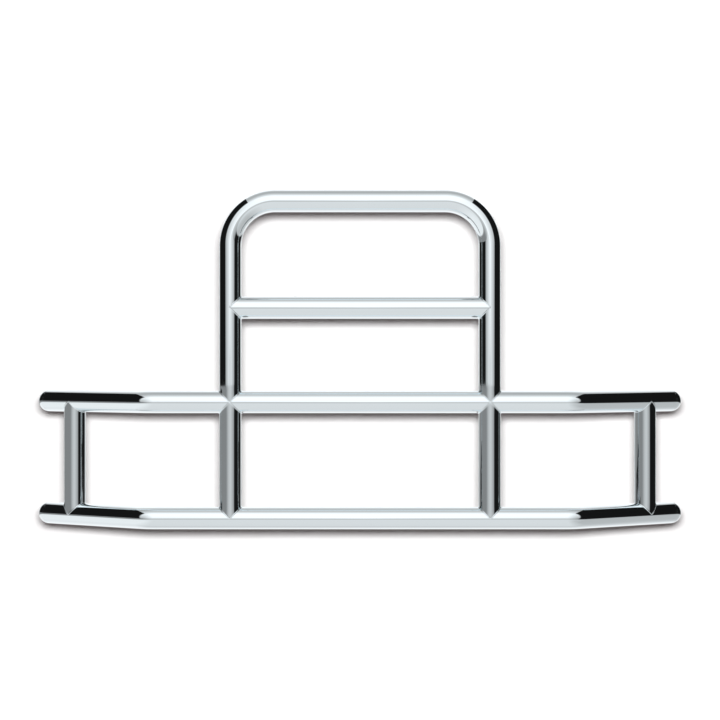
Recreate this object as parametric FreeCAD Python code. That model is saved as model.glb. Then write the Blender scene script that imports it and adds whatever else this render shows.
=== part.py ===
import FreeCAD, Part
import math
import os

from FreeCAD import Vector

# Tilting grille guard of polished steel tube for the nose of a highway truck.
# Millimetres. +X to the right seen from the front, -Y to the front, +Z up.
# The origin is the middle of the guard's underside, seen from above.
# The right-hand pieces are modelled, and the left-hand ones are their mirror images.

# Tube
TUBE_R = 38.1
WALL = 3.0
COPE_GAP = 0.05        # the cut end of a tube stands this far off the tube that it is welded to

# Guard, measured between tube axes
LEG_X = 443.0          # hoop legs and inner uprights, each side of the middle
UPPER_BAR_RISE = 396.5
CROSSBAR_RISE = 719.0
HOOP_RISE = 1083.0
HOOP_BEND_R = 152.4
BAR_BEND_X = 729.5     # where the straight middle of a bar and its swept end would meet
BAR_BEND_R = 95.0
SWEEP = 30.0           # degrees back from straight
WING = 426.5           # from that corner to the cap
OUTER_UPRIGHT_X = 1000.0

# Frame brackets, and the ears that are welded to the guard
RAIL_X = 432.0         # outside of the truck's frame rail
PLATE_T = 12.7
PLATE_EDGE_R = 1.0
PLATE_GAP = 1.5        # bracket to ear, filled by the bush's flange
CLEAR = 0.3            # between faces that slide past each other
PIVOT_BACK = 85.0      # pivot axis behind the lower bar's axis, and level with it
SLOT_R = 110.0
RAIL_BOLT_D = 17.5
RAIL_BOLT_BACK = 207.0  # middle of the rail bolt pattern, behind the pivot
RAIL_BOLT_RISE = 32.0   # and above it
RAIL_BOLT_Y = 76.2      # spacings of the rail bolt pattern
RAIL_BOLT_Z = 88.9

# Outlines of the plates from the pivot: distance back, height, corner radius
BRACKET_FRONT = -29.0
BRACKET_BACK = 273.0
BRACKET_TOP = 222.0
BRACKET_OUTLINE = [
    (BRACKET_FRONT, -33, 28),
    (BRACKET_BACK, -33, 12),
    (BRACKET_BACK, 100, 16),
    (138, 140, 60),
    (30, BRACKET_TOP, 14),
    (BRACKET_FRONT, BRACKET_TOP, 14),
]
EAR_OUTLINE = [
    (-PIVOT_BACK, -30, 4),
    (20, -30, 40),
    (SLOT_R + 23, -22, 20),
    (SLOT_R + 23, 25, 20),
    (22, 58, 60),
    (-24, 172, 14),
    (-PIVOT_BACK, 172, 4),
]

# Stops on the brackets' front edges
STOP_PLATE_T = 6.0
STOP_W = 30.0
STOP_H = 60.0
STOP_RISE = 175.0      # middle of the pad above the pivot
STOP_PLATE_EDGE_R = 1.0
STOP_PAD_EDGE_R = 3.0

# Pivot hardware
PIVOT_D = 19.05
BUSH_WALL = 3.0
BUSH_FLANGE_D = 38.0
WASHER_T = 3.0
PIVOT_WASHER_D = 38.0
PIVOT_FLATS = 28.6
PIVOT_HEAD_T = 12.0
PIVOT_NUT_T = 12.0
HEX_TURNED = 0.8       # share of a hexagon's corners that is turned off
BOLT_OUT = 2.5         # thread that shows past a nut
FIT = 0.1              # radial clearance of a bolt in its hole

# Clamp hardware
CLAMP_D = 15.9
CLAMP_HEAD_D = 34.0
CLAMP_HEAD_T = 6.0
CLAMP_HEAD_EDGE_R = 4.8
CLAMP_WASHER_D = 34.0
HUB_R = 15.0
HUB_L = 22.0
HUB_EDGE_R = 1.5
HUB_FIT = 0.05
LEVER_ROD_R = 6.5
LEVER_L = 128.0
GRIP_R = 11.5
GRIP_L = 76.0
GRIP_END = 6.0         # grip past the end of the rod
GRIP_EDGE_R = 5.0

# Where the driving dimensions put things
DEPTH = TUBE_R + PIVOT_BACK + BRACKET_BACK
GUARD_Y = TUBE_R - DEPTH / 2
LOWER_Z = TUBE_R
UPPER_Z = LOWER_Z + UPPER_BAR_RISE
CROSSBAR_Z = LOWER_Z + CROSSBAR_RISE
HOOP_Z = LOWER_Z + HOOP_RISE
PIVOT_Y = GUARD_Y + PIVOT_BACK
PIVOT_Z = LOWER_Z
CLAMP_Y = PIVOT_Y + SLOT_R
BRACKET_IN = RAIL_X
BRACKET_OUT = BRACKET_IN + PLATE_T
EAR_IN = BRACKET_OUT + PLATE_GAP
EAR_OUT = EAR_IN + PLATE_T
SWEEP_DIR = Vector(math.cos(math.radians(SWEEP)), math.sin(math.radians(SWEEP)), 0)
PIVOT_BORE_R = PIVOT_D / 2 + FIT
CLAMP_BORE_R = CLAMP_D / 2 + FIT
SLOT_HALF_W = CLAMP_D / 2 + 2 * FIT


def save(shape, name):
    """Write one node, after making sure that it is sound."""
    if not shape.isValid():
        raise ValueError(name + " is not a valid shape")
    shape.exportStep("parts/" + name + ".step")


def save_pair(shape, name):
    """Write a right-hand piece and its left-hand mirror image."""
    save(shape, name + "_right")
    save(shape.mirror(Vector(0, 0, 0), Vector(1, 0, 0)), name + "_left")


def rounded_wire(points, radii, closed=False):
    """Straight runs through the points, with an arc of the given radius at each corner."""
    count = len(points)
    edges = []
    corners = range(count) if closed else range(1, count - 1)
    last = None if closed else points[0]
    first = None
    for i in corners:
        here = points[i]
        before = (points[i - 1] - here).normalize()
        after = (points[(i + 1) % count] - here).normalize()
        half = before.getAngle(after) / 2
        cut = radii[i] / math.tan(half)
        start = here + before * cut
        end = here + after * cut
        bisector = (before + after).normalize()
        middle = here + bisector * (radii[i] / math.sin(half) - radii[i])
        if last is not None:
            edges.append(Part.LineSegment(last, start).toShape())
        else:
            first = start
        edges.append(Part.Arc(start, middle, end).toShape())
        last = end
    edges.append(Part.LineSegment(last, first if closed else points[-1]).toShape())
    return Part.Wire(edges)


def rod(start, end, radius):
    """Solid round bar between two points."""
    axis = end - start
    return Part.makeCylinder(radius, axis.Length, start, axis)


def sweep_round(points, bend_r, radius):
    """Solid round bar of the given radius along a bent centreline."""
    path = rounded_wire(points, [bend_r] * len(points))
    section = Part.Wire([Part.makeCircle(radius, points[0], points[1] - points[0])])
    return path.makePipeShell([section], True, False)


def bent_tube(points, bend_r):
    """Hollow tube, open at both ends, along a bent centreline."""
    return sweep_round(points, bend_r, TUBE_R).cut(sweep_round(points, bend_r, TUBE_R - WALL))


def straight_tube(start, end):
    """Hollow tube, open at both ends."""
    return rod(start, end, TUBE_R).cut(rod(start, end, TUBE_R - WALL))


def coped(tube, *crossings):
    """Cut a tube's ends to fit the round tubes that it meets, given as pairs of points on their axes."""
    for start, end in crossings:
        tube = tube.cut(rod(start, end, TUBE_R + COPE_GAP))
    return tube


def plate(outline, x_in):
    """Flat plate in the YZ plane with rounded edges, from corners measured from the pivot."""
    points = [Vector(x_in, PIVOT_Y + back, PIVOT_Z + rise) for back, rise, radius in outline]
    wire = rounded_wire(points, [radius for back, rise, radius in outline], closed=True)
    blank = Part.Face(wire).extrude(Vector(PLATE_T, 0, 0))
    rims = [edge for edge in blank.Edges if edge.BoundBox.XLength < PLATE_T / 2]
    return blank.makeFillet(PLATE_EDGE_R, rims)


def x_rod(x_start, x_end, y, z, radius):
    """Solid round bar along X."""
    return rod(Vector(x_start, y, z), Vector(x_end, y, z), radius)


def x_ring(x_start, x_end, y, z, outer, inner):
    """Washer or sleeve along X."""
    return x_rod(x_start, x_end, y, z, outer).cut(x_rod(x_start, x_end, y, z, inner))


def x_hex(x_start, x_end, y, z, flats):
    """Hexagon along X, its corners turned off at both ends."""
    corner_r = flats / math.sqrt(3)
    corners = []
    for i in range(7):
        angle = math.radians(60 * i)
        corners.append(Vector(x_start, y + corner_r * math.cos(angle), z + corner_r * math.sin(angle)))
    prism = Part.Face(Part.makePolygon(corners)).extrude(Vector(x_end - x_start, 0, 0))
    turned = x_rod(x_start, x_end, y, z, corner_r)
    return prism.common(turned.makeChamfer((corner_r - flats / 2) * HEX_TURNED, circles(turned)))


def circles(shape):
    """The circular edges of a shape."""
    return [edge for edge in shape.Edges if edge.Curve.TypeId == "Part::GeomCircle"]


def bar_corners(z):
    """Centreline of a full-width bar, from the left end to the right end."""
    tip = Vector(BAR_BEND_X, GUARD_Y, z) + SWEEP_DIR * WING
    bend = Vector(BAR_BEND_X, GUARD_Y, z)
    return [Vector(-tip.x, tip.y, z), Vector(-bend.x, bend.y, z), bend, tip]


def bar_middle_axis(z):
    """Two points on the axis of a bar's straight middle, well past both inner uprights."""
    return Vector(-BAR_BEND_X, GUARD_Y, z), Vector(BAR_BEND_X, GUARD_Y, z)


def wing_axis(z):
    """Two points on the axis of a bar's right-hand swept end."""
    bend = Vector(BAR_BEND_X, GUARD_Y, z)
    return bend, bend + SWEEP_DIR * WING


def make_tubes():
    """The eight tubes of the guard."""
    save(bent_tube(bar_corners(LOWER_Z), BAR_BEND_R), "lower_bar")
    save(bent_tube(bar_corners(UPPER_Z), BAR_BEND_R), "upper_bar")

    feet_z = UPPER_Z
    hoop = bent_tube([
        Vector(-LEG_X, GUARD_Y, feet_z),
        Vector(-LEG_X, GUARD_Y, HOOP_Z),
        Vector(LEG_X, GUARD_Y, HOOP_Z),
        Vector(LEG_X, GUARD_Y, feet_z),
    ], HOOP_BEND_R)
    save(coped(hoop, bar_middle_axis(UPPER_Z)), "hoop")

    ends = [Vector(side * LEG_X, GUARD_Y, CROSSBAR_Z) for side in (-1, 1)]
    crossbar = straight_tube(*ends)
    for end in ends:
        reach = Vector(0, 0, 2 * TUBE_R)
        crossbar = coped(crossbar, (end - reach, end + reach))
    save(crossbar, "hoop_crossbar")

    inner = straight_tube(Vector(LEG_X, GUARD_Y, LOWER_Z), Vector(LEG_X, GUARD_Y, UPPER_Z))
    inner = coped(inner, bar_middle_axis(LOWER_Z), bar_middle_axis(UPPER_Z))
    save_pair(inner, "inner_upright")

    outer_y = GUARD_Y + (OUTER_UPRIGHT_X - BAR_BEND_X) * math.tan(math.radians(SWEEP))
    foot = Vector(OUTER_UPRIGHT_X, outer_y, LOWER_Z)
    outer = straight_tube(foot, foot + Vector(0, 0, UPPER_BAR_RISE))
    save_pair(coped(outer, wing_axis(LOWER_Z), wing_axis(UPPER_Z)), "outer_upright")


def make_end_caps():
    """Hemispherical shells, as thick as the tube, that close the four bar ends."""
    origin, along = Vector(0, 0, 0), Vector(0, 0, 1)
    cap = Part.makeSphere(TUBE_R, origin, along, 0, 90, 360).cut(Part.makeSphere(TUBE_R - WALL))
    for level, z in (("lower", LOWER_Z), ("upper", UPPER_Z)):
        seat = bar_corners(z)[3]
        placed = cap.copy()
        placed.Placement = FreeCAD.Placement(seat, FreeCAD.Rotation(along, SWEEP_DIR))
        save_pair(placed, "end_cap_" + level)


def make_brackets():
    """Plates on the truck's frame rails, each with a pivot bush, a curved slot and four rail holes."""
    shape = plate(BRACKET_OUTLINE, BRACKET_IN)
    bush_r = PIVOT_BORE_R + BUSH_WALL
    shape = shape.cut(x_rod(BRACKET_IN, BRACKET_OUT, PIVOT_Y, PIVOT_Z, bush_r))

    slot = x_ring(BRACKET_IN, BRACKET_OUT, PIVOT_Y, PIVOT_Z, SLOT_R + SLOT_HALF_W, SLOT_R - SLOT_HALF_W)
    quarter = Part.makeBox(PLATE_T, 2 * SLOT_R, 2 * SLOT_R, Vector(BRACKET_IN, PIVOT_Y, PIVOT_Z))
    slot = slot.common(quarter)
    for y, z in ((CLAMP_Y, PIVOT_Z), (PIVOT_Y, PIVOT_Z + SLOT_R)):
        slot = slot.fuse(x_rod(BRACKET_IN, BRACKET_OUT, y, z, SLOT_HALF_W))
    shape = shape.cut(slot)

    for side_y in (-0.5, 0.5):
        for side_z in (-0.5, 0.5):
            y = PIVOT_Y + RAIL_BOLT_BACK + side_y * RAIL_BOLT_Y
            z = PIVOT_Z + RAIL_BOLT_RISE + side_z * RAIL_BOLT_Z
            shape = shape.cut(x_rod(BRACKET_IN, BRACKET_OUT, y, z, RAIL_BOLT_D / 2))
    save_pair(shape, "bracket")

    bush = x_ring(BRACKET_IN, BRACKET_OUT, PIVOT_Y, PIVOT_Z, bush_r, PIVOT_BORE_R)
    flange = x_ring(BRACKET_OUT, EAR_IN - CLEAR, PIVOT_Y, PIVOT_Z, BUSH_FLANGE_D / 2, PIVOT_BORE_R)
    save_pair(bush.fuse(flange), "bushing")


def make_stops():
    """Cross plate on the bracket's front edge, with a rubber pad that meets the inner upright."""
    plate_front = PIVOT_Y + BRACKET_FRONT - STOP_PLATE_T
    pad_front = GUARD_Y + TUBE_R + CLEAR
    x = BRACKET_OUT - STOP_W
    z = PIVOT_Z + STOP_RISE - STOP_H / 2
    cross = Part.makeBox(STOP_W, STOP_PLATE_T, STOP_H, Vector(x, plate_front, z))
    save_pair(cross.makeFillet(STOP_PLATE_EDGE_R, edges_at_y(cross, plate_front)), "stop_plate")

    pad = Part.makeBox(STOP_W, plate_front - pad_front, STOP_H, Vector(x, pad_front, z))
    save_pair(pad.makeFillet(STOP_PAD_EDGE_R, edges_at_y(pad, pad_front)), "stop_pad")


def edges_at_y(shape, y):
    """The edges that lie in the plane at y."""
    tiny = 0.001
    return [edge for edge in shape.Edges if all(abs(vertex.Y - y) < tiny for vertex in edge.Vertexes)]


def make_ears():
    """Gusset plates on the guard that carry the pivot bolt and the clamp bolt."""
    ear = plate(EAR_OUTLINE, EAR_IN)
    ear = ear.cut(x_rod(EAR_IN, EAR_OUT, PIVOT_Y, PIVOT_Z, PIVOT_BORE_R))
    ear = ear.cut(x_rod(EAR_IN, EAR_OUT, CLAMP_Y, PIVOT_Z, CLAMP_BORE_R))
    upright = Vector(LEG_X, GUARD_Y, LOWER_Z - 2 * TUBE_R), Vector(LEG_X, GUARD_Y, UPPER_Z)
    ear = coped(ear, bar_middle_axis(LOWER_Z), upright)
    save_pair(max(ear.Solids, key=lambda solid: solid.Volume), "ear")


def make_pivot_hardware():
    """Hinge bolt with its head outside the ear, and its nut inside the bracket."""
    head_seat = EAR_OUT + WASHER_T
    nut_seat = BRACKET_IN - CLEAR - WASHER_T
    nut_end = nut_seat - PIVOT_NUT_T
    bolt = x_rod(nut_end - BOLT_OUT, head_seat, PIVOT_Y, PIVOT_Z, PIVOT_D / 2)
    bolt = bolt.fuse(x_hex(head_seat, head_seat + PIVOT_HEAD_T, PIVOT_Y, PIVOT_Z, PIVOT_FLATS))
    save_pair(bolt, "pivot_bolt")

    nut = x_hex(nut_end, nut_seat, PIVOT_Y, PIVOT_Z, PIVOT_FLATS)
    nut = nut.cut(x_rod(nut_end, nut_seat, PIVOT_Y, PIVOT_Z, PIVOT_D / 2))
    save_pair(nut, "pivot_nut")

    washers = [
        x_ring(x, x + WASHER_T, PIVOT_Y, PIVOT_Z, PIVOT_WASHER_D / 2, PIVOT_BORE_R)
        for x in (nut_seat, EAR_OUT)
    ]
    save_pair(Part.Compound(washers), "pivot_washers")


def make_clamp_hardware():
    """Bolt that runs in the bracket's slot, and the hand lever that screws down on it."""
    head_in = BRACKET_IN - CLEAR - CLAMP_HEAD_T
    hub_in = EAR_OUT + WASHER_T + CLEAR
    hub_out = hub_in + HUB_L
    bolt = x_rod(head_in, hub_out + BOLT_OUT, CLAMP_Y, PIVOT_Z, CLAMP_D / 2)
    head = x_rod(head_in, head_in + CLAMP_HEAD_T, CLAMP_Y, PIVOT_Z, CLAMP_HEAD_D / 2)
    crown = [edge for edge in head.Edges if edge.BoundBox.XMax < head_in + CLAMP_HEAD_T / 2]
    bolt = bolt.fuse(head.makeFillet(CLAMP_HEAD_EDGE_R, crown))
    save_pair(bolt, "clamp_bolt")

    washer = x_ring(EAR_OUT, EAR_OUT + WASHER_T, CLAMP_Y, PIVOT_Z, CLAMP_WASHER_D / 2, CLAMP_BORE_R)
    save_pair(washer, "clamp_washer")

    rod_x = (hub_in + hub_out) / 2
    rod_foot = Vector(rod_x, CLAMP_Y, PIVOT_Z)
    rod_top = Vector(rod_x, CLAMP_Y, PIVOT_Z + LEVER_L)
    hub = x_rod(hub_in, hub_out, CLAMP_Y, PIVOT_Z, HUB_R)
    lever = hub.makeFillet(HUB_EDGE_R, circles(hub))
    lever = lever.fuse(rod(rod_foot, rod_top, LEVER_ROD_R))
    lever = lever.cut(x_rod(hub_in, hub_out, CLAMP_Y, PIVOT_Z, CLAMP_D / 2 + HUB_FIT))
    save_pair(lever, "lever")

    grip_foot = rod_top - Vector(0, 0, GRIP_L - GRIP_END)
    grip_top = rod_top + Vector(0, 0, GRIP_END)
    grip = rod(grip_foot, grip_top, GRIP_R)
    grip = grip.makeFillet(GRIP_EDGE_R, circles(grip))
    save_pair(grip.cut(rod(grip_foot, rod_top, LEVER_ROD_R)), "lever_grip")


os.makedirs("parts", exist_ok=True)
make_tubes()
make_end_caps()
make_brackets()
make_stops()
make_ears()
make_pivot_hardware()
make_clamp_hardware()
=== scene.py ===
import math

import bmesh
import bpy
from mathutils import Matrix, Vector

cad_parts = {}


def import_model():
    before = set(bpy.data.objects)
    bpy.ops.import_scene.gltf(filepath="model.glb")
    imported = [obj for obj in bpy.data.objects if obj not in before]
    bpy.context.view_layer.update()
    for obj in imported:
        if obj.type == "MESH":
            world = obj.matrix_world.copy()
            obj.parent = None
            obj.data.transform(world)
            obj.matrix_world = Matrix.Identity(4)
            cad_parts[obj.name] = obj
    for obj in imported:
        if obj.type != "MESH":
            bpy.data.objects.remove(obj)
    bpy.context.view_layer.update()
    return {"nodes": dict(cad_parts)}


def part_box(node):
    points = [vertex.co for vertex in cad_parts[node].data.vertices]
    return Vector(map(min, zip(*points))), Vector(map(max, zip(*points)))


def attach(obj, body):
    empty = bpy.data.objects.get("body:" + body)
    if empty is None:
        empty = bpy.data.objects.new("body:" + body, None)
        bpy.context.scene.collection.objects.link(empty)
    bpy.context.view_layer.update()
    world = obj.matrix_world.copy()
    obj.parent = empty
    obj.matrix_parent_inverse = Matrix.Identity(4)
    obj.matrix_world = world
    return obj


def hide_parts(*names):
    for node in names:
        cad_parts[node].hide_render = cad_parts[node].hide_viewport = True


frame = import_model()

X, Y, Z = Vector((1, 0, 0)), Vector((0, 1, 0)), Vector((0, 0, 1))
SIDES = (("left", -1), ("right", 1))

# Shape values that the boxes of the CAD nodes don't give, in metres and radians
WALL = 0.003
SWEEP = math.radians(30)
HOOP_BEND_R = 0.1524
BAR_BEND_R = 0.095
COPE_GAP = 0.0002
COPE_ROOM = 1.15       # tube radii from a tube's end to its next ring, clear of the cope
BEND_STEPS = 28        # rings along a bend
RING = 96              # points round a tube
ROUND = 48             # points round a fastener
BEAD_RING = 14         # points round a weld bead
BEAD_TAPER = 0.4       # the open end of a bead, as a share of its full section
SHARP_EDGE = math.radians(38)

# The guard's layout, from the frame
LOWER_LOW, LOWER_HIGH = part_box("lower_bar")
TUBE_R = (LOWER_HIGH.z - LOWER_LOW.z) / 2
GUARD_Y = LOWER_LOW.y + TUBE_R
LOWER_Z = (LOWER_LOW.z + LOWER_HIGH.z) / 2
UPPER_Z = sum(corner.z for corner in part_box("upper_bar")) / 2
CROSSBAR_Z = sum(corner.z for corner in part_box("hoop_crossbar")) / 2
HOOP_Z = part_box("hoop")[1].z - TUBE_R
LEG_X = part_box("hoop")[1].x - TUBE_R
OUTER = sum(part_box("outer_upright_right"), Vector()) / 2
BEND_X = OUTER.x - (OUTER.y - GUARD_Y) / math.tan(SWEEP)
TIP_X = LOWER_HIGH.x - TUBE_R * math.sin(SWEEP)
TIP_Y = GUARD_Y + (TIP_X - BEND_X) * math.tan(SWEEP)


# ---------------------------------------------------------------- shader nodes

def grey(level):
    return (level, level, level, 1)


class Nodes:
    """Short way to add shader nodes and link them."""

    def __init__(self, tree):
        self.tree = tree
        tree.nodes.clear()

    def add(self, kind, inputs=None, **settings):
        node = self.tree.nodes.new(kind)
        for name, value in settings.items():
            setattr(node, name, value)
        for name, value in (inputs or {}).items():
            if isinstance(value, bpy.types.NodeSocket):
                self.tree.links.new(value, node.inputs[name])
            else:
                node.inputs[name].default_value = value
        return node

    def math(self, operation, *values):
        inputs = dict(enumerate(values))
        return self.add("ShaderNodeMath", inputs, operation=operation).outputs[0]

    def ramp(self, value, stops):
        """Colour ramp. Each stop is a place and a grey level or a colour."""
        node = self.add("ShaderNodeValToRGB", {"Fac": value})
        points = node.color_ramp.elements
        while len(points) < len(stops):
            points.new(1.0)
        for point, (place, colour) in zip(points, stops):
            point.position = place
            point.color = (*colour, 1) if isinstance(colour, tuple) else grey(colour)
        return node.outputs["Color"]

    def mix(self, factor, a, b):
        inputs = {"Factor": factor, 6: a, 7: b}
        return self.add("ShaderNodeMix", inputs, data_type="RGBA").outputs[2]

    def noise(self, place, scale, detail=2.0, stretch=(1, 1, 1)):
        spread = self.add("ShaderNodeMapping", {"Vector": place, "Scale": stretch}).outputs[0]
        inputs = {"Vector": spread, "Scale": scale, "Detail": detail}
        return self.add("ShaderNodeTexNoise", inputs).outputs[0]

    def bump(self, height, strength, distance):
        inputs = {"Height": height, "Strength": strength, "Distance": distance}
        return self.add("ShaderNodeBump", inputs).outputs[0]

    def surface(self, **inputs):
        """Principled shader on the material's output. Names have _ for a space."""
        named = {name.replace("_", " "): value for name, value in inputs.items()}
        shader = self.add("ShaderNodeBsdfPrincipled", named)
        self.add("ShaderNodeOutputMaterial", {"Surface": shader.outputs[0]})


def material(name):
    """New material, its nodes and the place on the piece in metres."""
    made = bpy.data.materials.new(name)
    made.use_nodes = True
    nodes = Nodes(made.node_tree)
    return made, nodes, nodes.add("ShaderNodeTexCoord").outputs["Object"]


# ---------------------------------------------------------------- materials

def polished_steel(name, roughness, lines):
    """Mirror-polished stainless, with the faint lines of the polishing wheel."""
    made, nodes, place = material(name)
    along = nodes.add("ShaderNodeUVMap", uv_map="skin").outputs["UV"]
    grain = nodes.noise(along, 1.0, 3.0, (900, 60, 1))
    haze = nodes.noise(place, 7.0, 3.0)
    rough = nodes.math("MULTIPLY_ADD", haze, roughness, roughness * 0.5)
    tint = nodes.mix(haze, (0.885, 0.945, 0.975, 1), (0.87, 0.94, 0.97, 1))
    relief = nodes.bump(grain, lines, 0.0003)
    nodes.surface(Base_Color=tint, Metallic=1.0, Roughness=rough, Normal=relief)
    return made


def brushed_steel(name, colour, roughness, stretch):
    """Brushed or ground metal: long fine scratches and slow changes of tone."""
    made, nodes, place = material(name)
    scratches = nodes.noise(place, 1.0, 4.0, stretch)
    cloud = nodes.noise(place, 28.0, 3.0)
    dark = tuple(0.82 * part for part in colour)
    tint = nodes.mix(cloud, (*dark, 1), (*colour, 1))
    rough = nodes.math("MULTIPLY_ADD", scratches, 0.22, roughness)
    relief = nodes.bump(scratches, 0.12, 0.0002)
    nodes.surface(Base_Color=tint, Metallic=1.0, Roughness=rough, Normal=relief)
    return made


def zinc_plate():
    """Bright zinc with the faint yellow and blue of its passivation."""
    made, nodes, place = material("zinc_plate")
    cloud = nodes.noise(place, 60.0, 3.0)
    blue, plain, yellow = (0.60, 0.62, 0.66), (0.70, 0.70, 0.68), (0.68, 0.66, 0.58)
    tint = nodes.ramp(cloud, [(0.35, blue), (0.5, plain), (0.65, yellow)])
    rough = nodes.math("MULTIPLY_ADD", cloud, 0.2, 0.2)
    relief = nodes.bump(nodes.noise(place, 1400.0), 0.08, 0.0001)
    nodes.surface(Base_Color=tint, Metallic=1.0, Roughness=rough, Normal=relief)
    return made


def powder_coat():
    """Satin black powder coat: orange peel, and bare steel where the edges are rubbed."""
    made, nodes, place = material("black_powder_coat")
    rounded = nodes.add("ShaderNodeBevel", {"Radius": 0.0016}, samples=4).outputs[0]
    flat = nodes.add("ShaderNodeNewGeometry").outputs["Normal"]
    facing = nodes.add("ShaderNodeVectorMath", {0: rounded, 1: flat}, operation="DOT_PRODUCT")
    edge = nodes.math("SUBTRACT", 1.0, facing.outputs["Value"])
    patches = nodes.noise(place, 70.0, 4.0)
    worn = nodes.ramp(nodes.math("MULTIPLY", edge, patches), [(0.006, 0.0), (0.02, 1.0)])
    tint = nodes.mix(worn, nodes.mix(patches, grey(0.012), grey(0.022)), (0.33, 0.32, 0.31, 1))
    peel = nodes.bump(nodes.noise(place, 520.0), 0.25, 0.0003)
    rough = nodes.math("MULTIPLY_ADD", patches, 0.12, 0.36)
    nodes.surface(Base_Color=tint, Metallic=worn, Roughness=rough, Normal=peel)
    return made


def bronze():
    """Turned bush bronze, slightly dulled."""
    made, nodes, place = material("bush_bronze")
    cloud = nodes.noise(place, 90.0, 3.0)
    tint = nodes.mix(cloud, (0.42, 0.26, 0.11, 1), (0.66, 0.44, 0.20, 1))
    turned = nodes.noise(place, 1.0, 2.0, (2500, 60, 60))
    relief = nodes.bump(turned, 0.1, 0.0001)
    nodes.surface(Base_Color=tint, Metallic=1.0, Roughness=0.34, Normal=relief)
    return made


def soft_black(name, level, roughness, scale, strength):
    """Moulded rubber or plastic with a fine grain."""
    made, nodes, place = material(name)
    cloud = nodes.noise(place, 45.0, 3.0)
    tint = nodes.mix(cloud, grey(level), grey(level * 1.8))
    rough = nodes.math("MULTIPLY_ADD", cloud, 0.15, roughness)
    relief = nodes.bump(nodes.noise(place, scale), strength, 0.0002)
    nodes.surface(Base_Color=tint, Roughness=rough, Normal=relief)
    return made


TUBE_STEEL = polished_steel("polished_tube_steel", 0.02, 0.01)
WELD_STEEL = polished_steel("polished_weld_steel", 0.03, 0.02)
CAP_STEEL = polished_steel("polished_cap_steel", 0.02, 0.01)
BRUSHED_WELD = polished_steel("brushed_weld_steel", 0.30, 0.10)
EAR_STEEL = brushed_steel("brushed_ear_steel", (0.66, 0.67, 0.68), 0.22, (40, 40, 900))
LEVER_STEEL = brushed_steel("lever_steel", (0.60, 0.60, 0.60), 0.20, (900, 900, 30))
ZINC = zinc_plate()
COAT = powder_coat()
BRONZE = bronze()
RUBBER = soft_black("stop_rubber", 0.012, 0.66, 900.0, 0.35)
GRIP_PLASTIC = soft_black("grip_plastic", 0.016, 0.34, 1500.0, 0.25)

CAD_FINISH = {
    "bracket": COAT, "stop_plate": COAT, "stop_pad": RUBBER, "ear": EAR_STEEL, "bushing": BRONZE,
    "pivot_washers": ZINC, "clamp_washer": ZINC, "lever": LEVER_STEEL,
}


# ---------------------------------------------------------------- meshes

def skin(name, rings, shade_material, body, close_along=False):
    """Closed surface through rings of points, with its ends joined or filled."""
    count = len(rings[0])
    vertices = [point for ring in rings for point in ring]
    run = [0.0]
    for before, after in zip(rings, rings[1:] + rings[:1]):
        run.append(run[-1] + (after[0] - before[0]).length)
    step = (rings[0][1] - rings[0][0]).length
    faces, corners = [], []
    for i in range(len(rings) if close_along else len(rings) - 1):
        a, b = i * count, (i + 1) % len(rings) * count
        for k in range(count):
            n = (k + 1) % count
            faces.append((a + k, a + n, b + n, b + k))
            corners += [(k * step, run[i]), ((k + 1) * step, run[i])]
            corners += [((k + 1) * step, run[i + 1]), (k * step, run[i + 1])]
    if not close_along:
        last = len(vertices) - count
        faces += [tuple(range(count))[::-1], tuple(range(last, last + count))]
        corners += [(0.0, 0.0)] * (2 * count)
    mesh = bpy.data.meshes.new(name)
    mesh.from_pydata(vertices, [], faces)
    layer = mesh.uv_layers.new(name="skin")
    for loop, corner in zip(layer.data, corners):
        loop.uv = corner
    work = bmesh.new()
    work.from_mesh(mesh)
    bmesh.ops.recalc_face_normals(work, faces=work.faces)
    work.to_mesh(mesh)
    work.free()
    mesh.shade_smooth()
    mesh.set_sharp_from_angle(angle=SHARP_EDGE)
    mesh.materials.append(shade_material)
    piece = bpy.data.objects.new(name, mesh)
    bpy.context.scene.collection.objects.link(piece)
    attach(piece, body)
    return piece


def tube_path(corners, bend_r):
    """Points and directions along straight runs joined by arcs, with room for a cope at each end."""
    path = [(corners[0], (corners[1] - corners[0]).normalized())]
    path.append((corners[0] + path[0][1] * TUBE_R * COPE_ROOM, path[0][1]))
    for i in range(1, len(corners) - 1):
        before = (corners[i] - corners[i - 1]).normalized()
        after = (corners[i + 1] - corners[i]).normalized()
        turn = before.angle(after)
        start = corners[i] - before * bend_r * math.tan(turn / 2)
        inward = (after - before * math.cos(turn)) / math.sin(turn)
        for step in range(BEND_STEPS + 1):
            angle = turn * step / BEND_STEPS
            point = start + before * bend_r * math.sin(angle)
            point += inward * bend_r * (1 - math.cos(angle))
            path.append((point, before * math.cos(angle) + inward * math.sin(angle)))
    last = path[-1][1]
    path.append((corners[-1] - last * TUBE_R * COPE_ROOM, last))
    path.append((corners[-1], last))
    return path


def cope_depth(offset, bar):
    """How far a tube's wall stands back from the axis of the round bar that it is fitted to."""
    across = offset - bar * offset.dot(bar)
    return math.sqrt(max((TUBE_R + COPE_GAP) ** 2 - across.length_squared, 0))


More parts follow.
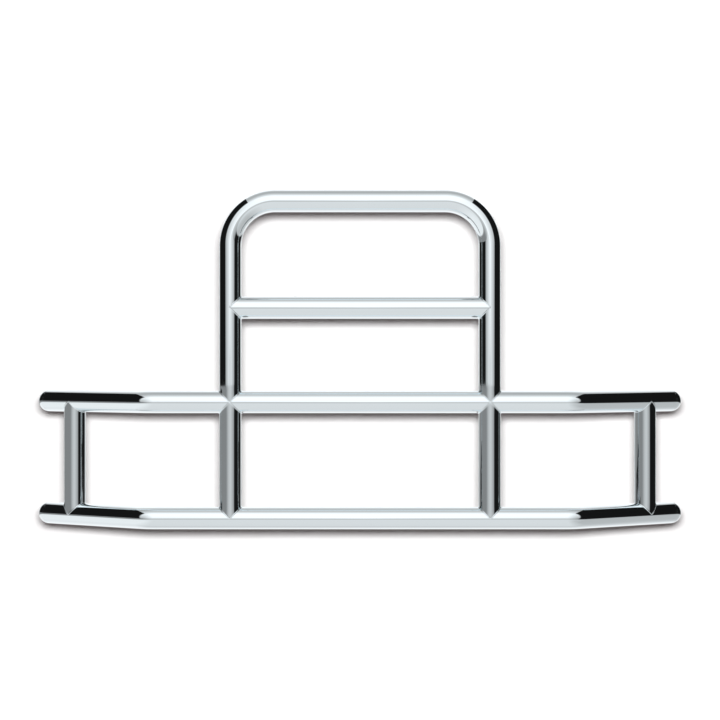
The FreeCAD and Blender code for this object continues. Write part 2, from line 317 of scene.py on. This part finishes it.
def tube(name, node, corners, plane_normal, bend_r=0.0, bars=(None, None)):
    """Hollow tube that replaces a CAD node.

    Its ends are cut square, or coped to bars whose directions are given.
    """
    path = tube_path(corners, bend_r)
    walls = []
    for radius in (TUBE_R, TUBE_R - WALL):
        wall = []
        for i, (centre, along) in enumerate(path):
            side = along.cross(plane_normal)
            bar = {0: bars[0], len(path) - 1: bars[1]}.get(i)
            inward = 1 if i == 0 else -1
            ring = []
            for k in range(RING):
                angle = 2 * math.pi * k / RING
                offset = (plane_normal * math.cos(angle) + side * math.sin(angle)) * radius
                back = cope_depth(offset, bar) if bar else 0.0
                ring.append(centre + offset + along * inward * back)
            wall.append(ring)
        walls.append(wall)
    rings = walls[0] + walls[1][::-1]
    piece = skin(name, rings, TUBE_STEEL, "guard", close_along=True)
    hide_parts(node)


def fillet(seam, leg):
    """Spine of a weld between two surfaces, from points on the seam with both normals there."""
    spine = []
    for point, first, second in seam:
        half = first.angle(second) / 2
        up = (first + second).normalized()
        spine.append((point + up * leg * math.sin(half), up, leg * math.cos(half)))
    return spine


def bead(name, spine, crown, ripple, shade_material, body, closed=False):
    """Weld bead along a spine of points, ways that its crown faces, and half widths."""
    rings = []
    last = len(spine) - 1
    for i, (point, up, half_w) in enumerate(spine):
        before = spine[i - 1][0] if i or closed else point
        after = spine[(i + 1) % len(spine)][0] if i < last or closed else point
        along = (after - before).normalized()
        up = (up - along * up.dot(along)).normalized()
        side = along.cross(up)
        end = 1 if closed or 0 < i < last else BEAD_TAPER
        high = crown * (1 + ripple * math.sin(i * math.pi / 2)) * end
        ring = []
        for k in range(BEAD_RING):
            angle = 2 * math.pi * k / BEAD_RING
            ring.append(point + side * math.cos(angle) * half_w * end + up * math.sin(angle) * high)
        rings.append(ring)
    skin(name, rings, shade_material, body, close_along=closed)


def lathe(name, profile, origin, axis, shade_material, body,
          trim=None, bored=False, count=ROUND):
    """Turned piece from (distance along the axis, radius) points.

    trim may change a radius by angle. The profile of a bored piece is a closed loop.
    """
    first = axis.orthogonal().normalized() if abs(axis.z) > 0.5 else Z
    second = axis.cross(first)
    rings = []
    for along, radius in profile:
        ring = []
        for k in range(count):
            angle = 2 * math.pi * k / count
            cut = trim(along, angle, radius) if trim else radius
            out = first * math.cos(angle) + second * math.sin(angle)
            ring.append(origin + axis * along + out * cut)
        rings.append(ring)
    return skin(name, rings, shade_material, body, close_along=bored)


# ---------------------------------------------------------------- tubes and their welds

WELD_STEPS = 160       # rings round a tube weld
WELD_LEG = 0.0021      # from the seam to each edge of a tube weld
WELD_CROWN = 0.0009
WELD_RIPPLE = 0.08     # share of the crown
SADDLE_ROUND = 0.03    # rounds the seam where it turns at the sides of the bar, in tube radii
CAP_GROOVE = 0.0002    # depth of a cap's ground joint
CAP_STEPS = 40         # rings from a cap's foot to its pole


def bar_corners(z):
    """Ends and bend corners of a full-width bar's axis."""
    return [Vector((-TIP_X, TIP_Y, z)), Vector((-BEND_X, GUARD_Y, z)),
            Vector((BEND_X, GUARD_Y, z)), Vector((TIP_X, TIP_Y, z))]


def cope_weld(name, centre, tube_way, bar):
    """Bead round the seam of a tube that is coped onto a bar of its own size."""
    across = tube_way.cross(bar)
    seam = []
    for i in range(WELD_STEPS):
        angle = 2 * math.pi * i / WELD_STEPS
        rise = math.hypot(math.cos(angle), SADDLE_ROUND)
        on_tube = bar * math.cos(angle) + across * math.sin(angle)
        on_bar = across * math.sin(angle) + tube_way * rise
        seam.append((centre + (on_tube + tube_way * rise) * TUBE_R, on_tube, on_bar))
    spine = fillet(seam, WELD_LEG)
    bead(name, spine, WELD_CROWN, WELD_RIPPLE, WELD_STEEL, "guard", closed=True)


def make_tubes():
    """The bars, the hoop, its crossbar and the four uprights, each welded where it is coped."""
    tube("lower_bar_tube", "lower_bar", bar_corners(LOWER_Z), Z, BAR_BEND_R)
    tube("upper_bar_tube", "upper_bar", bar_corners(UPPER_Z), Z, BAR_BEND_R)
    hoop = [Vector((x, GUARD_Y, z)) for x, z in (
        (-LEG_X, UPPER_Z), (-LEG_X, HOOP_Z), (LEG_X, HOOP_Z), (LEG_X, UPPER_Z))]
    tube("hoop_tube", "hoop", hoop, Y, HOOP_BEND_R, bars=(X, X))
    ends = [Vector((x, GUARD_Y, CROSSBAR_Z)) for x in (-LEG_X, LEG_X)]
    tube("crossbar_tube", "hoop_crossbar", ends, Z, bars=(Z, Z))
    for side, s in SIDES:
        cope_weld("weld_hoop_foot_" + side, Vector((s * LEG_X, GUARD_Y, UPPER_Z)), Z, X)
        cope_weld("weld_crossbar_" + side, Vector((s * LEG_X, GUARD_Y, CROSSBAR_Z)), -s * X, Z)
        wing = Vector((math.cos(SWEEP), s * math.sin(SWEEP), 0))
        for kind, x, y, bar in (("inner", LEG_X, GUARD_Y, X), ("outer", OUTER.x, OUTER.y, wing)):
            node = f"{kind}_upright_{side}"
            foot = Vector((s * x, y, LOWER_Z))
            top = Vector((s * x, y, UPPER_Z))
            tube(node + "_tube", node, [foot, top], Y, bars=(bar, bar))
            cope_weld(f"weld_{kind}_foot_{side}", foot, Z, bar)
            cope_weld(f"weld_{kind}_top_{side}", top, -Z, bar)


def make_caps():
    """Domes that close the bar ends, ground flush with the tube."""
    profile = [(0.0, TUBE_R - CAP_GROOVE)]
    for i in range(CAP_STEPS):
        angle = math.pi / 2 * (i + 0.5) / CAP_STEPS
        profile.append((TUBE_R * math.sin(angle), TUBE_R * math.cos(angle)))
    for level, z in (("lower", LOWER_Z), ("upper", UPPER_Z)):
        for side, s in SIDES:
            out = Vector((s * math.cos(SWEEP), math.sin(SWEEP), 0))
            seat = Vector((s * TIP_X, TIP_Y, z))
            cap = lathe(f"cap_{level}_{side}", profile, seat, out, CAP_STEEL,
                        "guard", count=RING)
            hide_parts(f"end_cap_{level}_{side}")


make_tubes()
make_caps()


# ---------------------------------------------------------------- welds of the plates

PLATE_WELD_LEG = 0.0045        # from the seam to each edge of the bead
PLATE_WELD_CROWN = 0.0014
PLATE_WELD_RIPPLE = 0.06       # share of the crown
PLATE_WELD_STEP = 0.0008       # from ring to ring
PLATE_WELD_INSET = 0.004       # from a plate's edge to the bead's end
EAR_WELD_TURN = math.radians(43)     # above level, where an ear's bead leaves the lower bar
EAR_WELD_CORNER = 0.003        # from there to its start on the upright


def steps_between(low, high):
    """Evenly spaced values from low to high, a weld's step apart."""
    count = max(2, round(abs(high - low) / PLATE_WELD_STEP))
    return [low + (high - low) * i / count for i in range(count + 1)]


def ear_weld(name, x, face, s):
    """Bead on one face of an ear, round the back of the lower bar and up the inner upright."""
    ear_low, ear_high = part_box("ear_right")
    foot = math.asin((ear_low.z + PLATE_WELD_INSET - LOWER_Z) / TUBE_R)
    seam = []
    for arc in steps_between(foot * TUBE_R, EAR_WELD_TURN * TUBE_R):
        angle = arc / TUBE_R
        out = Vector((0, math.cos(angle), math.sin(angle)))
        seam.append((Vector((x, GUARD_Y, LOWER_Z)) + out * TUBE_R, face * X, out))
    aside = (x - s * LEG_X) / TUBE_R
    out = Vector((aside, math.sqrt(1 - aside ** 2), 0))
    for z in steps_between(seam[-1][0].z + EAR_WELD_CORNER, ear_high.z - PLATE_WELD_INSET):
        seam.append((Vector((s * LEG_X, GUARD_Y, z)) + out * TUBE_R, face * X, out))
    spine = fillet(seam, PLATE_WELD_LEG)
    bead(name, spine, PLATE_WELD_CROWN, PLATE_WELD_RIPPLE, BRUSHED_WELD, "guard")


def stop_weld(name, s):
    """Painted bead between a stop plate and the inner face of its bracket."""
    stop_low, stop_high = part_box("stop_plate_right")
    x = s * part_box("bracket_right")[0].x
    seam = []
    for z in steps_between(stop_low.z + PLATE_WELD_INSET, stop_high.z - PLATE_WELD_INSET):
        seam.append((Vector((x, stop_high.y, z)), -s * X, Y))
    spine = fillet(seam, PLATE_WELD_LEG)
    bead(name, spine, PLATE_WELD_CROWN, PLATE_WELD_RIPPLE, COAT, "frame_brackets")


def make_plate_welds():
    """A bead on both faces of each ear, and one behind each stop plate."""
    ear_low, ear_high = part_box("ear_right")
    for side, s in SIDES:
        ear_weld("weld_ear_inside_" + side, s * ear_low.x, -s, s)
        ear_weld("weld_ear_outside_" + side, s * ear_high.x, s, s)
        stop_weld("weld_stop_" + side, s)


make_plate_welds()


# ---------------------------------------------------------------- fasteners and grips

PIVOT_R = 0.01905 / 2
PIVOT_FLATS = 0.0286
PIVOT_PITCH = 0.0025
PIVOT_HEAD_T = 0.012
COLLAR_R = PIVOT_FLATS / 2 * 0.96    # turned collar under the head
COLLAR_T = 0.0006
NUT_FACE_R = PIVOT_FLATS / 2 * 0.94  # flat ring round the start of the nut's bore
BORE_MOUTH_R = PIVOT_R + 0.0007      # the nut's bore is opened a little at both ends
BORE_MOUTH_T = 0.0006
CLAMP_R = 0.0159 / 2
CLAMP_PITCH = 0.0023
CLAMP_HEAD_T = 0.006
CLAMP_HEAD_R = 0.017
CLAMP_RIM_T = 0.0010           # rounded rim below the head's dome
THREAD_L = 0.021
THREAD_DEPTH = 0.0009
THREAD_STEPS = 8               # rings to one turn of a thread
CHAMFER = math.tan(math.radians(30))
CHAMFER_STEPS = 6
HEX_FACE = 0.95                # end face of a hexagon, as a share of its flats
DOME_STEPS = 16                # rings over the end of a clamp bolt's head or of a grip

# A grip's collar, as places along the grip in metres and shares of the grip's radius
GRIP_COLLAR = ((0.0, 0.80), (0.0008, 0.92), (0.0024, 1.0), (0.0052, 1.0), (0.0066, 0.93), (0.0080, 0.90))
GRIP_NECK = 0.90               # radius past the collar and at the end, as such a share
GRIP_SWELL = 0.075             # what the middle adds to the neck's share
GRIP_DOME = 0.8                # length of the rounded end, as such a share
RIB_PITCH = 0.0044
RIB_DEPTH = 0.0007
RIB_STEPS = 120                # rings along the ribs


def hexagon(flats):
    """Trims a turned profile to a hexagon, with the middle of a flat at angle 0."""
    def trim(along, angle, radius):
        turned = (angle + math.pi / 6) % (math.pi / 3) - math.pi / 6
        return min(radius, flats / 2 / math.cos(turned))
    return trim


def thread(pitch, before=None):
    """Trims a profile's start to a right-hand thread. before is a trim that comes first."""
    def trim(along, angle, radius):
        if before:
            radius = before(along, angle, radius)
        if not 0 < along < THREAD_L:
            return radius
        wave = abs((along / pitch - angle / (2 * math.pi)) % 1 * 2 - 1)
        ease = min(1.0, (THREAD_L - along) / pitch)
        return radius - THREAD_DEPTH * wave * ease
    return trim


def threaded_end(radius, pitch):
    """Profile of a bolt's chamfered tip and thread."""
    profile = [(0.0, radius - 2 * THREAD_DEPTH)]
    steps = round(THREAD_L / pitch * THREAD_STEPS)
    for i in range(1, steps + 1):
        along = THREAD_L * i / steps
        profile.append((along, min(radius, radius - 2 * THREAD_DEPTH + along)))
    return profile


def chamfered(low, high, flats, at_low=True):
    """Profile of a hexagon between two places along the axis, with its corners turned off."""
    corner = flats / math.sqrt(3)
    face = flats / 2 * HEX_FACE
    drop = (corner - face) * CHAMFER
    shares = [i / CHAMFER_STEPS for i in range(CHAMFER_STEPS + 1)]
    profile = [(low, corner)]
    if at_low:
        profile = [(low + drop * share, face + (corner - face) * share) for share in shares]
    profile += [(high - drop * (1 - share), corner + (face - corner) * share) for share in shares]
    return profile


def make_pivot(side, s):
    """Hinge bolt and its nut."""
    low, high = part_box("pivot_bolt_right")
    length = high.x - low.x
    tip = Vector((s * low.x, (low.y + high.y) / 2, (low.z + high.z) / 2))
    head = length - PIVOT_HEAD_T
    collar = head + COLLAR_T
    profile = threaded_end(PIVOT_R, PIVOT_PITCH)
    profile += [(head, PIVOT_R), (head, COLLAR_R), (collar, COLLAR_R)]
    profile += chamfered(collar, length, PIVOT_FLATS, at_low=False)
    trim = thread(PIVOT_PITCH, hexagon(PIVOT_FLATS))
    bolt = lathe("hinge_bolt_" + side, profile, tip, s * X, ZINC, "guard", trim)
    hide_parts("pivot_bolt_" + side)

    low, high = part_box("pivot_nut_right")
    seat = Vector((s * low.x, tip.y, tip.z))
    thick = high.x - low.x
    profile = [(0.0, BORE_MOUTH_R), (0.0, NUT_FACE_R)]
    profile += chamfered(0.0, thick, PIVOT_FLATS)
    profile += [(thick, BORE_MOUTH_R), (thick - BORE_MOUTH_T, PIVOT_R), (BORE_MOUTH_T, PIVOT_R)]
    nut = lathe("hinge_nut_" + side, profile, seat, s * X, ZINC, "guard",
                hexagon(PIVOT_FLATS), bored=True)
    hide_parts("pivot_nut_" + side)


def make_clamp(side, s):
    """Clamp bolt with a domed head inside the bracket and a thread for the lever's hub."""
    low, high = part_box("clamp_bolt_right")
    length = high.x - low.x
    tip = Vector((s * high.x, (low.y + high.y) / 2, (low.z + high.z) / 2))
    head = length - CLAMP_HEAD_T
    rim = head + CLAMP_RIM_T
    dome = CLAMP_HEAD_T - CLAMP_RIM_T
    profile = threaded_end(CLAMP_R, CLAMP_PITCH)
    profile += [(head, CLAMP_R), (head, CLAMP_HEAD_R - CLAMP_RIM_T)]
    profile += [(head + 0.4 * CLAMP_RIM_T, CLAMP_HEAD_R - 0.3 * CLAMP_RIM_T), (rim, CLAMP_HEAD_R)]
    for i in range(1, DOME_STEPS):
        angle = math.pi / 2 * i / (DOME_STEPS - 0.5)
        profile.append((rim + dome * math.sin(angle), CLAMP_HEAD_R * math.cos(angle)))
    bolt = lathe("slot_bolt_" + side, profile, tip, -s * X, ZINC, "guard",
                 thread(CLAMP_PITCH))
    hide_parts("clamp_bolt_" + side)


def make_grip(side, s):
    """Moulded grip with a collar, finger ribs and a rounded end."""
    low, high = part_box("lever_grip_right")
    radius = (high.x - low.x) / 2
    length = high.z - low.z
    foot = Vector((s * (low.x + high.x) / 2, (low.y + high.y) / 2, low.z))
    profile = [(along, radius * share) for along, share in GRIP_COLLAR]
    neck = profile[-1][0]
    dome = radius * GRIP_DOME
    ribbed = length - dome - neck
    for i in range(1, RIB_STEPS):
        along = ribbed * i / RIB_STEPS
        groove = max(0.0, math.sin(along / RIB_PITCH * 2 * math.pi)) ** 0.5
        swell = GRIP_NECK + GRIP_SWELL * math.sin(along / ribbed * math.pi)
        profile.append((neck + along, radius * swell - RIB_DEPTH * groove))
    for i in range(DOME_STEPS):
        angle = math.pi / 2 * i / (DOME_STEPS - 0.4)
        end = neck + ribbed + dome * math.sin(angle)
        profile.append((end, radius * GRIP_NECK * math.cos(angle)))
    body = "clamp_lever_" + side
    grip = lathe("ribbed_grip_" + side, profile, foot, Z, GRIP_PLASTIC, body)
    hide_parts("lever_grip_" + side)


for side_name, side_sign in SIDES:
    make_pivot(side_name, side_sign)
    make_clamp(side_name, side_sign)
    make_grip(side_name, side_sign)


# ---------------------------------------------------------------- pieces that keep their CAD mesh

def finish_cad():
    """Materials of the pieces that keep their CAD mesh."""
    for node, piece in frame["nodes"].items():
        kind = node.removesuffix("_left").removesuffix("_right")
        if kind in CAD_FINISH:
            piece.data.materials.clear()
            piece.data.materials.append(CAD_FINISH[kind])


finish_cad()


# ---------------------------------------------------------------- studio

# The studio is worked out from directions. Angles are in degrees, and 0 is straight ahead of
# the guard. A slope is a direction's steepness as seen from the front.
HORIZON = -0.015       # sine of the elevation where the upper half starts
SKY_SLOPE = 70         # slope at which the upper half has its full light
FLAG_FRONT = (42, 48)  # angles between which a dark flag starts
FLAG_BACK = (130, 136)
FLAG_LEAN = 0.25       # what a flag's front edge moves back for each degree of slope
FLAG_SLOPE = 57.5      # slope at which the flags end
FLAG_GREY = 0.008
LOW_END = (0.17, 0.22)   # sines of the depression between which the low band ends
UNDER_SLOPE = (45, 75)   # slopes downward between which the floor's middle takes over
AMBIENT = (0.100, 0.082, 0.082, 1)     # what matt surfaces receive from the studio
CAMERA_BACK = 5.809    # in front of the tube axes
CAMERA_RISE = 0.540    # above the lower bar's axis
LENS = 85
SENSOR = 36
KEY_RISE = 0.145       # key light above the camera
KEY_SIZE = (0.37, 0.22)
KEY_POWER = 525.0
FILL_X, FILL_Y, FILL_Z = 2.6, 1.6, 1.5     # a fill light on each side, behind and above
FILL_SIZE = (1.2, 1.2)
FILL_POWER = 60.0
WALL_Y = 0.90
FLOOR_Z = -0.9
STAGE_HALF = 1.8       # half the width of the wall and of the floor
STAGE_GREY = 0.9
FLOOR_GLOW = 0.85
WALL_RIM_GLOW = 0.6    # the wall glows towards its rim, between these distances from its middle
GLOW_FROM = 1.45
GLOW_TO = 2.1


def by_angle(nodes, angle, *stops):
    """Ramp over an angle that comes as a share of 180 degrees. Its stops are in degrees."""
    return nodes.ramp(angle, [(degrees / 180, level) for degrees, level in stops])


def upper_half(nodes, off_axis, slope):
    """Bright front that gets brighter higher up, with a dark flag on each side."""
    level_front = by_angle(
        nodes, off_axis, (0, 0.70), (10, 0.76), (18, 0.72), (29, 0.55), (40, 0.42), (120, 0.40),
        (131, 0.5), (142, 0.75), (180, 0.9))
    high_front = by_angle(
        nodes, off_axis, (0, 1.12), (50, 1.12), (57, 0.95), (66, 0.76), (81, 0.54), (97, 0.43),
        (110, 0.47), (122, 0.64), (135, 1.0), (145, 1.12), (180, 1.12))
    lift = nodes.math("MULTIPLY", slope, 90 / SKY_SLOPE)
    open_sky = nodes.mix(lift, level_front, high_front)
    over_flag = nodes.math("GREATER_THAN", slope, FLAG_SLOPE / 90)
    lean = nodes.math("MULTIPLY", slope, FLAG_LEAN * 90 / 180)
    edge = nodes.math("SUBTRACT", off_axis, lean)
    past_edge = by_angle(nodes, edge, (FLAG_FRONT[0], 0.0), (FLAG_FRONT[1], 1.0))
    before_back = by_angle(nodes, off_axis, (0, 1.0), (FLAG_BACK[0], 1.0), (FLAG_BACK[1], 0.0))
    flagged = nodes.math("MULTIPLY", past_edge, before_back)
    flagged = nodes.math("MULTIPLY", flagged, nodes.math("SUBTRACT", 1.0, over_flag))
    return nodes.mix(flagged, open_sky, grey(FLAG_GREY))


def lower_half(nodes, off_axis, slope, right, z):
    """Pale floor, and a darker band just below level that is darkest at the right."""
    low_left = by_angle(
        nodes, off_axis, (0, 0.59), (10, 0.56), (20, 0.47), (30, 0.345), (40, 0.24), (124, 0.235),
        (134, 0.34), (145, 0.6), (180, 0.7))
    low_right = by_angle(
        nodes, off_axis, (0, 0.61), (10, 0.59), (20, 0.50), (30, 0.42), (39, 0.33), (45, 0.03),
        (52, 0.008), (130, 0.01), (136, 0.3), (144, 0.7), (180, 0.8))
    low = nodes.mix(right, low_left, low_right)
    floor_middle = by_angle(
        nodes, off_axis, (0, 0.70), (17, 0.76), (81, 0.74), (90, 0.68), (97, 0.64), (106, 0.72),
        (116, 0.84), (130, 1.0), (180, 1.1))
    floor_left = by_angle(
        nodes, off_axis, (0, 0.70), (17, 0.78), (41, 0.88), (97, 0.90), (116, 0.92), (144, 1.05),
        (180, 1.1))
    floor_right = by_angle(
        nodes, off_axis, (0, 0.70), (17, 0.76), (41, 0.58), (66, 0.50), (97, 0.52), (116, 0.6),
        (144, 1.0), (180, 1.1))
    down = nodes.math("MULTIPLY", slope, -1.0)
    beneath = nodes.ramp(down, [(UNDER_SLOPE[0] / 90, 0.0), (UNDER_SLOPE[1] / 90, 1.0)])
    floor = nodes.mix(beneath, nodes.mix(right, floor_left, floor_right), floor_middle)
    depression = nodes.math("MULTIPLY", z, -1.0)
    near_level = nodes.ramp(depression, [(LOW_END[0], 1.0), (LOW_END[1], 0.0)])
    return nodes.mix(near_level, floor, low)


def world():
    """Studio that the polished tube mirrors: a bright front, dark flags and a pale floor."""
    made = bpy.data.worlds.new("studio")
    bpy.context.scene.world = made
    made.use_nodes = True
    nodes = Nodes(made.node_tree)
    way = nodes.add("ShaderNodeTexCoord").outputs["Generated"]
    x, y, z = nodes.add("ShaderNodeSeparateXYZ", {0: way}).outputs
    cosine = nodes.math("MULTIPLY", y, -1.0)
    off_axis = nodes.math("DIVIDE", nodes.math("ARCCOSINE", cosine), math.pi)
    rise = nodes.math("ARCTAN2", z, nodes.math("ABSOLUTE", x))
    slope = nodes.math("DIVIDE", rise, math.pi / 2)
    right = nodes.math("GREATER_THAN", x, 0.0)
    above = upper_half(nodes, off_axis, slope)
    below = lower_half(nodes, off_axis, slope, right, z)
    colour = nodes.mix(nodes.math("GREATER_THAN", z, HORIZON), below, above)
    ray = nodes.add("ShaderNodeLightPath").outputs
    colour = nodes.mix(ray["Is Diffuse Ray"], colour, AMBIENT)
    colour = nodes.mix(ray["Is Camera Ray"], colour, grey(1.0))
    shown = nodes.add("ShaderNodeBackground", {"Color": colour, "Strength": 1.0})
    nodes.add("ShaderNodeOutputWorld", {"Surface": shown.outputs[0]})


def camera():
    """Level camera in front of the guard, a little above the upper bar."""
    data = bpy.data.cameras.new("camera")
    data.lens = LENS
    data.sensor_width = SENSOR
    made = bpy.data.objects.new("camera", data)
    made.location = (0, GUARD_Y - CAMERA_BACK, LOWER_Z + CAMERA_RISE)
    made.rotation_euler = (math.pi / 2, 0, 0)
    bpy.context.scene.collection.objects.link(made)
    bpy.context.scene.camera = made


def lamp(name, place, target, size, power):
    """Oval soft light that the polished tube doesn't mirror."""
    data = bpy.data.lights.new(name, "AREA")
    data.shape = "ELLIPSE"
    data.size, data.size_y = size
    data.energy = power
    made = bpy.data.objects.new(name, data)
    made.location = place
    made.rotation_euler = (target - place).to_track_quat("-Z", "Y").to_euler()
    made.visible_glossy = False
    made.visible_camera = False
    bpy.context.scene.collection.objects.link(made)


def lamps():
    """Key light just above the camera, and two fill lights behind the guard."""
    middle = Vector((0, GUARD_Y, (LOWER_Z + HOOP_Z) / 2))
    key = Vector((0, GUARD_Y - CAMERA_BACK, LOWER_Z + CAMERA_RISE + KEY_RISE))
    lamp("key", key, middle, KEY_SIZE, KEY_POWER)
    for side, s in SIDES:
        fill = Vector((s * FILL_X, FILL_Y, FILL_Z))
        lamp("fill_" + side, fill, middle, FILL_SIZE, FILL_POWER)


def sheet(name, middle, ways, half_size, glow, rim_glow=None):
    """White matt sheet. Only its front is seen, and the tube doesn't mirror it."""
    made, nodes, place = material(name + "_paint")
    if rim_glow:
        away = nodes.add("ShaderNodeVectorMath", {0: place}, operation="LENGTH").outputs["Value"]
        limits = {0: away, 1: GLOW_FROM, 2: GLOW_TO, 3: glow, 4: rim_glow}
        glow = nodes.add("ShaderNodeMapRange", limits).outputs[0]
    paint = nodes.add("ShaderNodeBsdfDiffuse", {"Color": grey(STAGE_GREY)}).outputs[0]
    light = nodes.add("ShaderNodeEmission", {"Color": grey(1.0), "Strength": glow}).outputs[0]
    front = nodes.add("ShaderNodeAddShader", {0: paint, 1: light}).outputs[0]
    back = nodes.add("ShaderNodeBsdfTransparent").outputs[0]
    from_back = nodes.add("ShaderNodeNewGeometry").outputs["Backfacing"]
    both = nodes.add("ShaderNodeMixShader", {0: from_back, 1: front, 2: back}).outputs[0]
    nodes.add("ShaderNodeOutputMaterial", {"Surface": both})
    first, second = ways
    mesh = bpy.data.meshes.new(name)
    signs = ((-1, -1), (1, -1), (1, 1), (-1, 1))
    corners = [(first * a + second * b) * half_size for a, b in signs]
    mesh.from_pydata(corners, [], [(0, 1, 2, 3)])
    mesh.materials.append(made)
    piece = bpy.data.objects.new(name, mesh)
    piece.location = middle
    piece.visible_glossy = False
    piece.visible_shadow = False
    piece.visible_diffuse = False
    bpy.context.scene.collection.objects.link(piece)


def stage():
    """White wall close behind, which takes the drop shadow, and a pale floor below the view."""
    wall_z = LOWER_Z + CAMERA_RISE
    sheet("wall", (0, WALL_Y, wall_z), (X, Z), STAGE_HALF, 0.0, WALL_RIM_GLOW)
    sheet("floor", (0, WALL_Y - STAGE_HALF, FLOOR_Z), (X, Y), STAGE_HALF, FLOOR_GLOW)


world()
camera()
lamps()
stage()
bpy.context.scene.view_settings.view_transform = "Standard"
